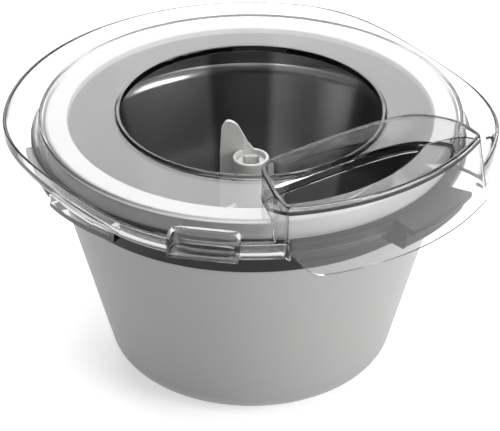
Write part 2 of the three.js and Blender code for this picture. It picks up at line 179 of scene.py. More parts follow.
def rounded(points, steps=4):
    """A closed outline of (x, y, corner radius) points with its corners turned into arcs."""
    outline = []
    for i, (x, y, radius) in enumerate(points):
        corner = Vector((x, y))
        if not radius:
            outline.append(corner)
            continue
        back = Vector(points[i - 1][:2]) - corner
        ahead = Vector(points[(i + 1) % len(points)][:2]) - corner
        half = back.angle(ahead) / 2
        reach = min(radius / math.tan(half), 0.49 * back.length, 0.49 * ahead.length)
        middle = (back.normalized() + ahead.normalized()).normalized()
        centre = corner + middle * (reach / math.cos(half))
        start = corner + back.normalized() * reach - centre
        turn = start.angle_signed(corner + ahead.normalized() * reach - centre)
        for k in range(steps + 1):
            outline.append(centre + Matrix.Rotation(-turn * k / steps, 2) @ start)
    return outline


def arc(centre, radius, start, end, steps):
    """Points on an arc in the plane, from one angle to another, in degrees."""
    turns = [math.radians(start + (end - start) * k / steps) for k in range(steps + 1)]
    return [(centre[0] + radius * math.cos(a), centre[1] + radius * math.sin(a)) for a in turns]


def polar(radius, degrees):
    return radius * math.cos(math.radians(degrees)), radius * math.sin(math.radians(degrees))


def sealed(bm):
    """Merges a mesh's doubles and points its faces outwards."""
    bmesh.ops.remove_doubles(bm, verts=bm.verts, dist=1e-6)
    bmesh.ops.recalc_face_normals(bm, faces=bm.faces)
    return bm


def spun(profile, segments):
    """A closed (radius, height) profile turned about the bowl's axis."""
    bm = bmesh.new()
    verts = [bm.verts.new((r, 0, z)) for r, z in profile]
    edges = [bm.edges.new(pair) for pair in zip(verts, verts[1:])]
    if profile[0][0] > 0 or profile[-1][0] > 0:
        edges.append(bm.edges.new((verts[-1], verts[0])))
    bmesh.ops.spin(bm, geom=verts + edges, cent=(0, 0, 0), axis=(0, 0, 1),
                   angle=math.tau, steps=segments, use_merge=True)
    return sealed(bm)


def wedge(profile, start, end, steps=10):
    """A closed (radius, height) profile turned through part of a turn, in degrees, with both ends closed."""
    bm = bmesh.new()
    face = bm.faces.new([bm.verts.new((r, 0, z)) for r, z in profile])
    geom = [face, *face.verts, *face.edges]
    bmesh.ops.rotate(bm, verts=list(face.verts), cent=(0, 0, 0),
                     matrix=Matrix.Rotation(math.radians(start), 3, "Z"))
    bmesh.ops.spin(bm, geom=geom, cent=(0, 0, 0), axis=(0, 0, 1),
                   angle=math.radians(end - start), steps=steps, use_duplicate=False)
    return sealed(bm)


def raised(outline, low, high):
    """A plan outline raised from one height to another."""
    bm = bmesh.new()
    face = bm.faces.new([bm.verts.new((x, y, low)) for x, y in outline])
    lifted = bmesh.ops.extrude_face_region(bm, geom=[face])["geom"]
    top = [v for v in lifted if isinstance(v, bmesh.types.BMVert)]
    bmesh.ops.translate(bm, verts=top, vec=(0, 0, high - low))
    return sealed(bm)


def lofted(rings):
    """Closed rings of points, one inside or over the next, bridged in order and back to the first."""
    bm = bmesh.new()
    loops = []
    for ring in rings:
        verts = [bm.verts.new(p) for p in ring]
        loops.append([bm.edges.new(pair) for pair in zip(verts, verts[1:] + verts[:1])])
    for one, other in zip(loops, loops[1:] + loops[:1]):
        bmesh.ops.bridge_loops(bm, edges=one + other)
    return sealed(bm)


def placed(bm, name):
    """A bmesh as an object at the origin."""
    mesh = bpy.data.meshes.new(name)
    bm.to_mesh(mesh)
    bm.free()
    made = bpy.data.objects.new(name, mesh)
    bpy.context.scene.collection.objects.link(made)
    return made


def joined(base, bm, operation):
    """Adds or cuts a closed bmesh on a closed piece, by an exact boolean."""
    tool = placed(bm, base.name + "_tool")
    change = base.modifiers.new("join", "BOOLEAN")
    change.operation, change.object, change.solver = operation, tool, "EXACT"
    result = bpy.data.meshes.new_from_object(base.evaluated_get(bpy.context.evaluated_depsgraph_get()))
    base.modifiers.clear()
    base.data = result
    result.name = base.name
    bpy.data.objects.remove(tool)
    if not result.polygons:
        raise RuntimeError(f"nothing is left of {base.name} after a boolean")
    return base


def dressed(piece, body, slot, material, *nodes, sharp=32):
    """Shades a finished piece, gives it its material, fixes it to its body and hides the CAD nodes it stands
    for.
    """
    piece.data.shade_smooth()
    piece.data.set_sharp_from_angle(angle=math.radians(sharp))
    piece.data.materials.clear()
    piece.data.materials.append(material)
    flat = piece.modifiers.new("flat_faces", "WEIGHTED_NORMAL")
    flat.keep_sharp, flat.weight = True, 60
    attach(piece, body)
    if nodes:
        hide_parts(*nodes)
    return piece


def softened(piece, width, angle=40, segments=3):
    """Rounds a piece's sharp edges."""
    bevel = piece.modifiers.new("edges", "BEVEL")
    bevel.width, bevel.segments, bevel.profile = width, segments, 0.5
    bevel.limit_method, bevel.angle_limit = "ANGLE", math.radians(angle)
    return piece


# ---- material tools --------------------------------------------------------------------------

class Value:
    """A socket that adds a Math node for each sum it is used in."""

    def __init__(self, paint, socket):
        self.paint, self.socket = paint, socket

    def sum(self, operation, one, other):
        return self.paint.node("ShaderNodeMath", {"operation": operation}, {0: one, 1: other})[0]

    def __add__(self, other):
        return self.sum("ADD", self, other)

    def __sub__(self, other):
        return self.sum("SUBTRACT", self, other)

    def __rsub__(self, other):
        return self.sum("SUBTRACT", other, self)

    def __mul__(self, other):
        return self.sum("MULTIPLY", self, other)

    __radd__ = __add__
    __rmul__ = __mul__


class Paint:
    """One material and its nodes."""

    def __init__(self, name):
        self.material = bpy.data.materials.new(name)
        self.material.use_nodes = True
        self.tree = self.material.node_tree
        self.tree.nodes.clear()
        self.place = self.node("ShaderNodeTexCoord", {}, {})["Object"]

    def node(self, kind, settings, inputs):
        """Adds a node: its settings first, then its sockets' values or links. Gives its outputs."""
        made = self.tree.nodes.new(kind)
        for name, value in settings.items():
            if name == "stops":
                self.ramp(made.color_ramp, value)
            else:
                setattr(made, name, value)
        for name, value in inputs.items():
            if isinstance(value, Value):
                self.tree.links.new(value.socket, made.inputs[name])
            else:
                made.inputs[name].default_value = value
        return Outputs(self, made)

    @staticmethod
    def ramp(ramp, stops):
        while len(ramp.elements) < len(stops):
            ramp.elements.new(0.5)
        for element, (at, colour) in zip(ramp.elements, stops):
            element.position, element.color = at, (*colour, 1)

    def noise(self, scale, detail=3, roughness=0.5, place=None):
        """Fine variation between 0 and 1, with its scale in repeats per metre."""
        return self.node("ShaderNodeTexNoise", {}, {
            "Vector": place or self.place, "Scale": scale, "Detail": detail, "Roughness": roughness})["Fac"]

    def stretched(self, size):
        """Object coordinates scaled by a different amount along each axis."""
        return self.node("ShaderNodeMapping", {}, {"Vector": self.place, "Scale": size})["Vector"]

    def between(self, factor, low, high):
        """A colour that goes from one to another with a factor."""
        return self.node("ShaderNodeMix", {"data_type": "RGBA"}, {
            "Factor": factor, 6: (*low, 1), 7: (*high, 1)})[2]

    def bump(self, height, distance, strength=1.0):
        return self.node("ShaderNodeBump", {}, {
            "Height": height, "Distance": distance, "Strength": strength})["Normal"]

    def surface(self, **inputs):
        """A Principled shader whose sockets are named with underscores for spaces."""
        named = {name.replace("_", " "): value for name, value in inputs.items()}
        return self.node("ShaderNodeBsdfPrincipled", {}, named)[0]

    def done(self, shader, **more):
        self.node("ShaderNodeOutputMaterial", {}, {"Surface": shader, **more})
        return self.material


class Outputs:
    """A node's outputs, as values, by name or number."""

    def __init__(self, paint, made):
        self.paint, self.made = paint, made

    def __getitem__(self, key):
        return Value(self.paint, self.made.outputs[key])


def shade(colour, factor):
    """A colour made lighter or darker."""
    return tuple(min(1.0, c * factor) for c in colour)


# ---- finishes --------------------------------------------------------------------------------

def satin_shell(colour):
    """Satin moulded wall: an even fine texture with faint soft unevenness."""
    paint = Paint("satin_shell")
    cloud = paint.noise(14, 2)
    grain = paint.noise(2600, 2)
    base = paint.between(cloud, shade(colour, 0.97), shade(colour, 1.03))
    return paint.done(paint.surface(
        Base_Color=base, Roughness=0.36 + 0.1 * cloud, Specular_IOR_Level=0.22,
        Normal=paint.bump(grain, 0.02 * MM, 0.25)))


def moulded_white(name, colour, grain_size=1800):
    """Smooth white plastic with a faint moulding texture and slightly duller patches."""
    paint = Paint(name)
    cloud = paint.noise(30, 2)
    grain = paint.noise(grain_size, 2)
    base = paint.between(cloud, shade(colour, 0.97), colour)
    return paint.done(paint.surface(
        Base_Color=base, Roughness=0.26 + 0.14 * cloud, Subsurface_Weight=0.08,
        Subsurface_Radius=(0.004, 0.004, 0.003), Normal=paint.bump(grain, 0.02 * MM, 0.2)))


def coated_metal(colour):
    """Dark coated aluminium with fine spun lines, and broad fans of painted reflection in its colour round
    the bowl.
    """
    paint = Paint("coated_metal")
    spun_lines = paint.noise(1.0, 2, 0.6, paint.stretched((20, 20, 2600)))
    cloud = paint.noise(22, 3)
    place = paint.node("ShaderNodeSeparateXYZ", {}, {0: paint.place})
    turn = paint.node("ShaderNodeMath", {"operation": "ARCTAN2"}, {0: place["Y"], 1: place["X"]})[0]
    # Painted reflections: the colour is made lighter in fans by angle round the bowl, standing in for the
    # lamps' reflections.
    painted_reflections = paint.node("ShaderNodeValToRGB", {"stops": [(at, (light,) * 3) for at, light in PAINTED_METAL_REFLECTIONS]}, {
        "Fac": turn * (0.5 / math.pi) + 0.5 + 0.006 * cloud})[0]
    base = paint.node("ShaderNodeMix", {"data_type": "RGBA", "blend_type": "MULTIPLY"}, {
        "Factor": 1.0, 6: paint.between(cloud, shade(colour, 0.9), shade(colour, 1.1)), 7: painted_reflections})[2]
    return paint.done(paint.surface(
        Base_Color=base, Metallic=0.85, Roughness=0.15 + 0.08 * spun_lines + 0.05 * cloud,
        Normal=paint.bump(spun_lines, 0.01 * MM, 0.25)))


def dark_plastic(colour):
    """Semi-gloss charcoal plastic with a fine grain and rubbed lighter marks."""
    paint = Paint("charcoal_plastic")
    grain = paint.noise(1500, 3)
    rub = paint.noise(45, 4, 0.6)
    base = paint.between(rub, shade(colour, 0.85), shade(colour, 1.5))
    return paint.done(paint.surface(
        Base_Color=base, Roughness=0.24 + 0.14 * rub, Specular_IOR_Level=0.15,
        Normal=paint.bump(grain, 0.03 * MM, 0.3)))


def clear_plastic(tint):
    """Polished clear plastic: it refracts, shows fine handling haze and lets lamps through."""
    paint = Paint("clear_polished")
    haze = paint.noise(60, 4, 0.62)
    ripple = paint.noise(9, 1)
    glass = paint.surface(
        Base_Color=(*tint, 1), Roughness=0.015 + 0.035 * haze * haze, IOR=1.49,
        Transmission_Weight=1.0, Normal=paint.bump(ripple, 0.25 * MM, 0.2))
    lit = paint.node("ShaderNodeBsdfTransparent", {}, {"Color": (*shade(tint, 0.98), 1)})[0]
    shadow = paint.node("ShaderNodeLightPath", {}, {})["Is Shadow Ray"]
    # Light that travels far inside the wall, as along an edge, comes out darker.
    depth = paint.node("ShaderNodeVolumeAbsorption", {}, {"Color": (0.4, 0.4, 0.4, 1), "Density": 80})[0]
    return paint.done(paint.node("ShaderNodeMixShader", {}, {0: shadow, 1: glass, 2: lit})[0], Volume=depth)


def gel_finish():
    paint = Paint("coolant_gel")
    cloud = paint.noise(40, 3)
    return paint.done(paint.surface(
        Base_Color=paint.between(cloud, (0.3, 0.45, 0.6), (0.5, 0.66, 0.78)), Roughness=0.5 + 0.2 * cloud))


def rubber_finish():
    paint = Paint("gasket_rubber")
    grain = paint.noise(900, 3)
    return paint.done(paint.surface(
        Base_Color=paint.between(grain, (0.02, 0.02, 0.02), (0.045, 0.045, 0.045)),
        Roughness=0.6 + 0.2 * grain, Normal=paint.bump(grain, 0.05 * MM, 0.4)))


# ---- shapes shared by pieces --------------------------------------------------------------------

def wall_r(z):
    """Radius of the outer wall's line at a height."""
    return BASE_R + TAPER * z


def inner_r(z):
    """Radius of the freezing bowl's inside at a height."""
    return WALL_TOP[0] - TAPER * (WALL_TOP[1] - z)


WALL_ANGLE = -math.degrees(math.atan(TAPER))


def outer_line(offset, top):
    """The rounded bottom edge and tapered wall, from the base up, moved inwards by an offset."""
    centre = (wall_r(BASE_FILLET) - BASE_FILLET * TAPER_LENGTH, BASE_FILLET)
    rim = (wall_r(top) - offset * TAPER_LENGTH, top)
    return arc(centre, BASE_FILLET - offset, -90, WALL_ANGLE, 12) + [rim]


def inner_line(offset):
    """The inside of the freezing bowl from its floor to its mouth, moved outwards by an offset."""
    z = FLOOR_Z + INNER_FILLET
    centre = (inner_r(z) - INNER_FILLET * TAPER_LENGTH, z)
    bend = arc(centre, INNER_FILLET + offset, -90, WALL_ANGLE, 12)
    ease = 1.5 * MM
    step = [
        (WALL_TOP[0] + offset - TAPER * ease, WALL_TOP[1] - ease),
        (WALL_TOP[0] + offset + 0.6 * MM, WALL_TOP[1] + ease),
        (MOUTH_R + offset - 0.7 * MM, STEP_Z - ease - offset * 0.5),
        (MOUTH_R + offset, STEP_Z + ease - offset * 0.5),
    ]
    return bend + step


def lid_edge(degrees):
    """Radius of the lid's rim at an angle: a circle with two eased flats."""
    radius = LID_R
    for angle, depth, half in FLATS:
        off = abs((degrees - angle + 540) % 360 - 180)
        if off < half:
            radius -= depth * (1 + math.cos(math.pi * off / half)) / 2
    return radius


def to_lid_outline(bm):
    """Moves everything outside the gutter's inner edge so that the rim follows the lid's outline."""
    start = GUTTER_R + 1 * MM
    for vert in bm.verts:
        x, y, z = vert.co
        radius = math.hypot(x, y)
        if radius > start:
            edge = lid_edge(math.degrees(math.atan2(y, x)))
            k = (start + (radius - start) * (edge - start) / (LID_R - start)) / radius
            vert.co = (x * k, y * k, z)
    return bm


def ramp_z(radius):
    """Height of the chute's sloped floor at a radius."""
    share = (radius - HOLE_R) / (CHUTE_FRONT_R - 2 * MM - HOLE_R)
    low, high = PLATE_LOW + 1 * MM, CHUTE_TOP - 3 * MM
    return low + (high - low) * share


def smooth_through(points, count):
    """Evenly spaced points on a smooth curve through a few points, both ends included."""
    curve = []
    padded = [points[0]] + list(points) + [points[-1]]
    for i in range(1, len(padded) - 2):
        a, b, c, d = (Vector(p) for p in padded[i - 1:i + 3])
        for k in range(16):
            t = k / 16
            curve.append(0.5 * (2 * b + (c - a) * t + (2 * a - 5 * b + 4 * c - d) * t ** 2
                                + (3 * b - a - 3 * c + d) * t ** 3))
    curve.append(Vector(points[-1]))
    return evened(curve, count, closed=False)


def evened(curve, count, closed=True):
    """The same line with its points evenly spaced."""
    ends = curve + curve[:1] if closed else curve
    along = [0]
    for a, b in zip(ends, ends[1:]):
        along.append(along[-1] + (b - a).length)
    spaced, i = [], 0
    for k in range(count):
        want = along[-1] * k / (count if closed else count - 1)
        while i < len(ends) - 2 and along[i + 1] < want:
            i += 1
        share = (want - along[i]) / max(along[i + 1] - along[i], 1e-9)
        spaced.append(ends[i].lerp(ends[i + 1], min(share, 1)))
    return spaced


# The chute's back wall in plan at its rim, from its right tip round to its left end.
CHUTE_BACK = [(x * MM, y * MM) for x, y in (
    (127.5, -60), (118, -45.5), (104, -37.2), (89, -35), (71.5, -42.3), (51.7, -54.6),
    (26.7, -72.2), (11, -84), (5.4, -91.5), (6.5, -100), (13, -124))]


def chute_plan(count=240):
    """The chute's plan at its rim, anticlockwise, evenly spaced."""
    front = [Vector(polar(CHUTE_FRONT_R, CHUTE_FROM + (CHUTE_TO - CHUTE_FROM) * k / 40)) for k in range(41)]
    plan = evened(front + smooth_through(CHUTE_BACK, 90), count)
    for _ in range(CHUTE_SOFTNESS):
        plan = [plan[i - 1] / 4 + p / 2 + plan[(i + 1) % count] / 4 for i, p in enumerate(plan)]
    return plan


def moved_in(plan, distance):
    """A closed plan moved inwards by a distance, along its own normals."""
    moved = []
    for i, point in enumerate(plan):
        along = (plan[(i + 1) % len(plan)] - plan[i - 1]).normalized()
        moved.append(point + Vector((-along.y, along.x)) * distance)
    return moved


def drafted(plan, z):
    """A plan at the rim, widened for a height below it. A height may be one number or one for each point."""
    heights = z if isinstance(z, list) else [z] * len(plan)
    return [(*(p * (1 + CHUTE_DRAFT * (CHUTE_TOP - h))), h) for p, h in zip(plan, heights)]


# ---- pieces ----------------------------------------------------------------------------------

class ICECREAM_OT_bowl(bpy.types.Operator):
    """Builds the double-walled freezing bowl with the ring that caps it."""
    bl_idname = "icecream.bowl"
    bl_label = "Freezing bowl"

    def execute(self, context):
        look = context.scene.icecream_bowl
        self.outer_wall(look)
        self.freezing_bowl(look)
        self.rim_cap(look)
        self.fillings()
        return {"FINISHED"}

    def outer_wall(self, look):
        neck, neck_wall, neck_top = RIM_R - 2.8 * MM, 2.4 * MM, RIM_Z - 7 * MM
        profile = [
            (0, 0), *outer_line(0, SHOULDER_Z), (neck, SHOULDER_Z), (neck, neck_top),
            (neck - neck_wall, neck_top), (neck - neck_wall, SHOULDER_Z - 2 * MM),
            *reversed(outer_line(look.wall, SHOULDER_Z - 8 * MM)), (0, look.wall),
        ]
        wall = placed(spun(profile, look.segments), "outer_wall")
        hole = raised([Vector(polar(6.2 * MM, a)) + Vector((0, 45 * MM)) for a in range(0, 360, 10)],
                      -5 * MM, 5 * MM)
        wall = joined(wall, hole, "DIFFERENCE")
        dressed(wall, "bowl", "shell_grey", satin_shell(look.shell_colour), "outer_shell")

    def freezing_bowl(self, look):
        flange_low, flange, flange_r = RIM_Z - 5.5 * MM, 1.5 * MM, RIM_R - 3 * MM
        boss_r, boss_top = 5 * MM, FLOOR_Z + 10 * MM
        profile = [
            (0, FLOOR_Z - look.metal), *inner_line(look.metal), (MOUTH_R + look.metal, flange_low),
            (flange_r, flange_low), (flange_r, flange_low + flange), (MOUTH_R, flange_low + flange),
            *reversed(inner_line(0)), (boss_r + 1.5 * MM, FLOOR_Z), (boss_r, FLOOR_Z + 1.5 * MM),
            (boss_r, boss_top - 1 * MM), (boss_r - 1 * MM, boss_top), (0, boss_top),
        ]
        bowl = placed(spun(profile, look.segments), "freezing_bowl")
        dressed(bowl, "bowl", "dark_aluminium", coated_metal(look.metal_colour), "inner_bowl")

    def rim_cap(self, look):
        under, skirt = RIM_Z - 2.5 * MM, SHOULDER_Z + 0.3 * MM
        inner_radius, lip, seat = 105 * MM, 1.6 * MM, RIM_Z - 3.7 * MM
        outline = rounded([
            (inner_radius, seat, 0), (inner_radius + lip, seat, 0), (inner_radius + lip, under, 0),
            (RIM_R - 2.4 * MM, under, 0), (RIM_R - 2.4 * MM, skirt, 0), (RIM_R, skirt, 0.4 * MM),
            (RIM_R, RIM_Z, 1.4 * MM), (inner_radius, RIM_Z, 0.9 * MM),
        ])
        cap = placed(spun([tuple(p) for p in outline], look.segments), "rim_cap")
        dressed(cap, "bowl", "white_plastic", moulded_white("rim_white", look.rim_colour), "rim_ring")

    def fillings(self):
        rubber = rubber_finish()
        for name, material in (("coolant_fill", gel_finish()), ("inner_seal", rubber),
                               ("outer_seal", rubber), ("filler_plug", rubber)):
            for made in bpy.data.objects:
                if made.type == "MESH" and made.name == name:
                    for place in made.material_slots:
                        place.material = material


class ICECREAM_OT_ring(bpy.types.Operator):
    """Builds the support ring with its three locking lugs."""
    bl_idname = "icecream.ring"
    bl_label = "Support ring"

    def execute(self, context):
        look = context.scene.icecream_ring
        low, top, gap = SUPPORT_LOW.z, SUPPORT_HIGH.z, 0.5 * MM
        outline = rounded([
            (wall_r(low) + gap, low, 0), (113.4 * MM, low, 0.5 * MM), (114.6 * MM, low + 9 * MM, 4 * MM),
            (124 * MM, top - 5 * MM, 3 * MM), (124 * MM, top, 1.2 * MM), (RIM_R + 0.6 * MM, top, 0.4 * MM),
            (RIM_R + gap, SHOULDER_Z, 0), (wall_r(SHOULDER_Z - 2 * MM) + gap, SHOULDER_Z - 2 * MM, 0),
        ])
        ring = placed(spun([tuple(p) for p in outline], 180), "locking_ring")
        for lug in LUGS:
            ring = joined(ring, self.lug(*lug), "UNION")
        softened(ring, 0.35 * MM, 50, 2)
        dressed(ring, "support_ring", "dark_plastic", dark_plastic(look.colour), "support_ring", sharp=40)
        return {"FINISHED"}

    @staticmethod
    def lug(angle, ledge, block):
        """A thin ledge that the lid's hook takes, over a block that tapers to the collar."""
        top = SUPPORT_HIGH.z - 0.05 * MM
        outline = rounded([
            (114 * MM, RIM_Z - 28 * MM, 0), (block - 2.5 * MM, RIM_Z - 27 * MM, 1 * MM),
            (block, RIM_Z - 24 * MM, 1.5 * MM), (block, top - 3.6 * MM, 0.6 * MM),
            (ledge, top - 3.6 * MM, 0.6 * MM), (ledge, top, 0.8 * MM), (RIM_R + 2 * MM, top, 0),
        ], 3)
        return wedge([tuple(p) for p in outline], angle - LUG_HALF, angle + LUG_HALF)


class ICECREAM_OT_lid(bpy.types.Operator):
    """Builds the clear lid: plate, gutter, upturned rim, finger grip and hooks."""
    bl_idname = "icecream.lid"
    bl_label = "Clear lid"

    def execute(self, context):
        look = context.scene.icecream_lid
        t = look.wall
        gutter_top, plate_top = GUTTER_LOW + t, PLATE_LOW + t
        edge_top, lip_top, step = RIM_Z + 0.6 * MM, RIM_Z + 4.7 * MM, 119.6 * MM
        outline = rounded([
            (OPENING_R, PLATE_LOW, 0.8 * MM), (step, PLATE_LOW, 2 * MM), (GUTTER_R, GUTTER_LOW, 3.5 * MM),
            (LID_R, GUTTER_LOW, 7 * MM), (LID_R, edge_top, 0.9 * MM), (LID_R - t, edge_top, 0.9 * MM),
            (LID_R - t - 0.4 * MM, gutter_top, 5.5 * MM), (GUTTER_R + 2 * MM, gutter_top, 4 * MM),
            (step + 1.6 * MM, plate_top, 1.6 * MM), (OPENING_R + t + 0.4 * MM, plate_top, 1 * MM),
            (OPENING_R + t, lip_top, 0.8 * MM), (OPENING_R, lip_top, 0.8 * MM),
        ], 7)
        lid = placed(to_lid_outline(spun([tuple(p) for p in outline], look.segments)), "clear_lid")
        grip_top = gutter_top + 9.5 * MM
        lid = joined(lid, self.grip(0, GUTTER_LOW + 0.2 * MM, grip_top, LID_R - 0.5 * MM), "UNION")
        lid = joined(lid, self.grip(t, gutter_top, gutter_top + 30 * MM, LID_R + 8 * MM), "DIFFERENCE")
        for lug in LUGS:
            for part in self.hook(*lug):
                lid = joined(lid, part, "UNION")
        # The chute drops into this hole.
        plan = moved_in(chute_plan(), -0.3 * MM)
        count = len(plan)
        block = lofted([drafted(plan, GUTTER_LOW - 20 * MM), drafted(plan, CHUTE_TOP + 5 * MM)])
        bmesh.ops.holes_fill(block, edges=block.edges, sides=count)
        lid = joined(lid, sealed(block), "DIFFERENCE")
        softened(lid, 0.3 * MM, 50, 2)
        dressed(lid, "lid", "clear_plastic", clear_plastic(look.tint), "lid_panel", sharp=50)
        return {"FINISHED"}

    @staticmethod
    def grip(inset, low, high, reach):
        """The finger grip's rounded recess, open outwards."""
        inner, half, corner = 127 * MM + inset, 20 * MM - inset, 9 * MM - inset
        outline = rounded([
            (reach, half * 0.98, 0), (inner, half, corner), (inner, -half, corner), (reach, -half * 0.98, 0),
        ], 8)
        turn = Matrix.Rotation(math.radians(-100.5), 2)
        return raised([turn @ p for p in outline], low, high)

    @staticmethod
    def hook(angle, ledge, block):
        """A hanging wall with an inward foot, closed by a stop at its far end."""
        wall, foot = ledge + 0.6 * MM, block + 0.8 * MM
        low, root = SUPPORT_HIGH.z - 6.6 * MM, GUTTER_LOW + (4 if wall > 135 * MM else 1) * MM
        outer = wall + 2.2 * MM
        start, end = angle + LUG_HALF + 2, angle + LOCK_TURN + LUG_HALF + 3
        section = [(foot, low), (outer, low), (outer, root), (wall, root), (wall, low + 2.4 * MM),
                   (foot, low + 2.4 * MM)]
        stop = [(foot, low), (outer, low), (outer, root), (foot, root)]
        return wedge(section, start, end - 1.4, 14), wedge(stop, end - 1.5, end, 2)


class ICECREAM_OT_chute(bpy.types.Operator):
    """Builds the clear filling chute that stands in the lid."""
    bl_idname = "icecream.chute"
    bl_label = "Filling chute"

    def execute(self, context):
        look = context.scene.icecream_lid
        t = look.wall
        plan = chute_plan()
        inner, skirt = moved_in(plan, t), moved_in(plan, 0.8 * MM)
        feet = [self.foot(p) for p in plan]
        # The wall steps out where it stands in the gutter, above the skirt over the first lug.
        ledge = [max(z, RIM_Z - 11 * MM) for z in feet]
        rings = [drafted(skirt, feet), drafted(skirt, ledge)]
        rings += [drafted(plan, [z + rise for z in ledge]) for rise in (0.4 * MM, 1.2 * MM)]
        for inset, drop in ((0, 2), (0, 0.8), (0.25, 0.2), (0.5 * t / MM, 0), (t / MM - 0.25, 0.2)):
            rings.append(drafted(moved_in(plan, inset * MM), CHUTE_TOP - drop * MM))
        rings += [drafted(inner, CHUTE_TOP - 0.8 * MM), drafted(inner, CHUTE_TOP - 2 * MM)]
        rings += [drafted(inner, [z + 1 * MM for z in feet]), drafted(inner, feet)]
        walls = placed(lofted(rings), "clear_chute")
        walls = joined(walls, self.ramp(t, moved_in(plan, t * 0.5)), "UNION")
        softened(walls, 0.3 * MM, 50, 2)
        polished = bpy.data.materials["clear_polished"]
        dressed(walls, "lid", "clear_plastic", polished, "filling_chute", sharp=50)
        return {"FINISHED"}

    @staticmethod
    def foot(point):
        """Height of the wall's lower edge: in the bowl, on the plate, in the gutter or down the skirt."""
        radius = point.length * (1 + CHUTE_DRAFT * 20 * MM)
        turn = math.degrees(math.atan2(point.y, point.x)) - CHUTE_FROM
        if radius < HOLE_R - 4.5 * MM:
            return RIM_Z - 3 * MM
        if radius < 119.6 * MM:
            return PLATE_LOW
        if radius < GUTTER_R + 1 * MM:
            return RIM_Z - 3 * MM
        # The skirt stays outside the lug, which turns past its end.
        if point.length * (1 + CHUTE_DRAFT * 31 * MM) < LID_R + 0.6 * MM:
            return RIM_Z - 10.5 * MM
        # The skirt's near corner is rounded.
        short = max(0, 1 - (turn - 2) / 6) if turn < 8 else 0
        return RIM_Z - 20 * MM + 9 * MM * short ** 2

    @staticmethod
    def ramp(thickness, plan):
        """The sloped floor, from the hole's front edge up to the front wall, cut to the chute's plan."""
        outer = CHUTE_FRONT_R + 4 * MM
        section = rounded([
            (HOLE_R, ramp_z(HOLE_R) - thickness, 0.8 * MM), (outer, ramp_z(outer) - thickness, 0),
            (outer, ramp_z(outer), 0), (HOLE_R, ramp_z(HOLE_R), 0.8 * MM)], 3)
        floor = placed(wedge([tuple(p) for p in section], CHUTE_FROM - 14, CHUTE_TO + 14, 60), "chute_floor")
        block = lofted([drafted(plan, RIM_Z - 30 * MM), drafted(plan, CHUTE_TOP + 20 * MM)])
        bmesh.ops.holes_fill(block, edges=block.edges, sides=len(plan))
        floor = joined(floor, sealed(block), "INTERSECT")
        cut = bmesh.new()
        cut.from_mesh(floor.data)
        bpy.data.objects.remove(floor)
        return cut


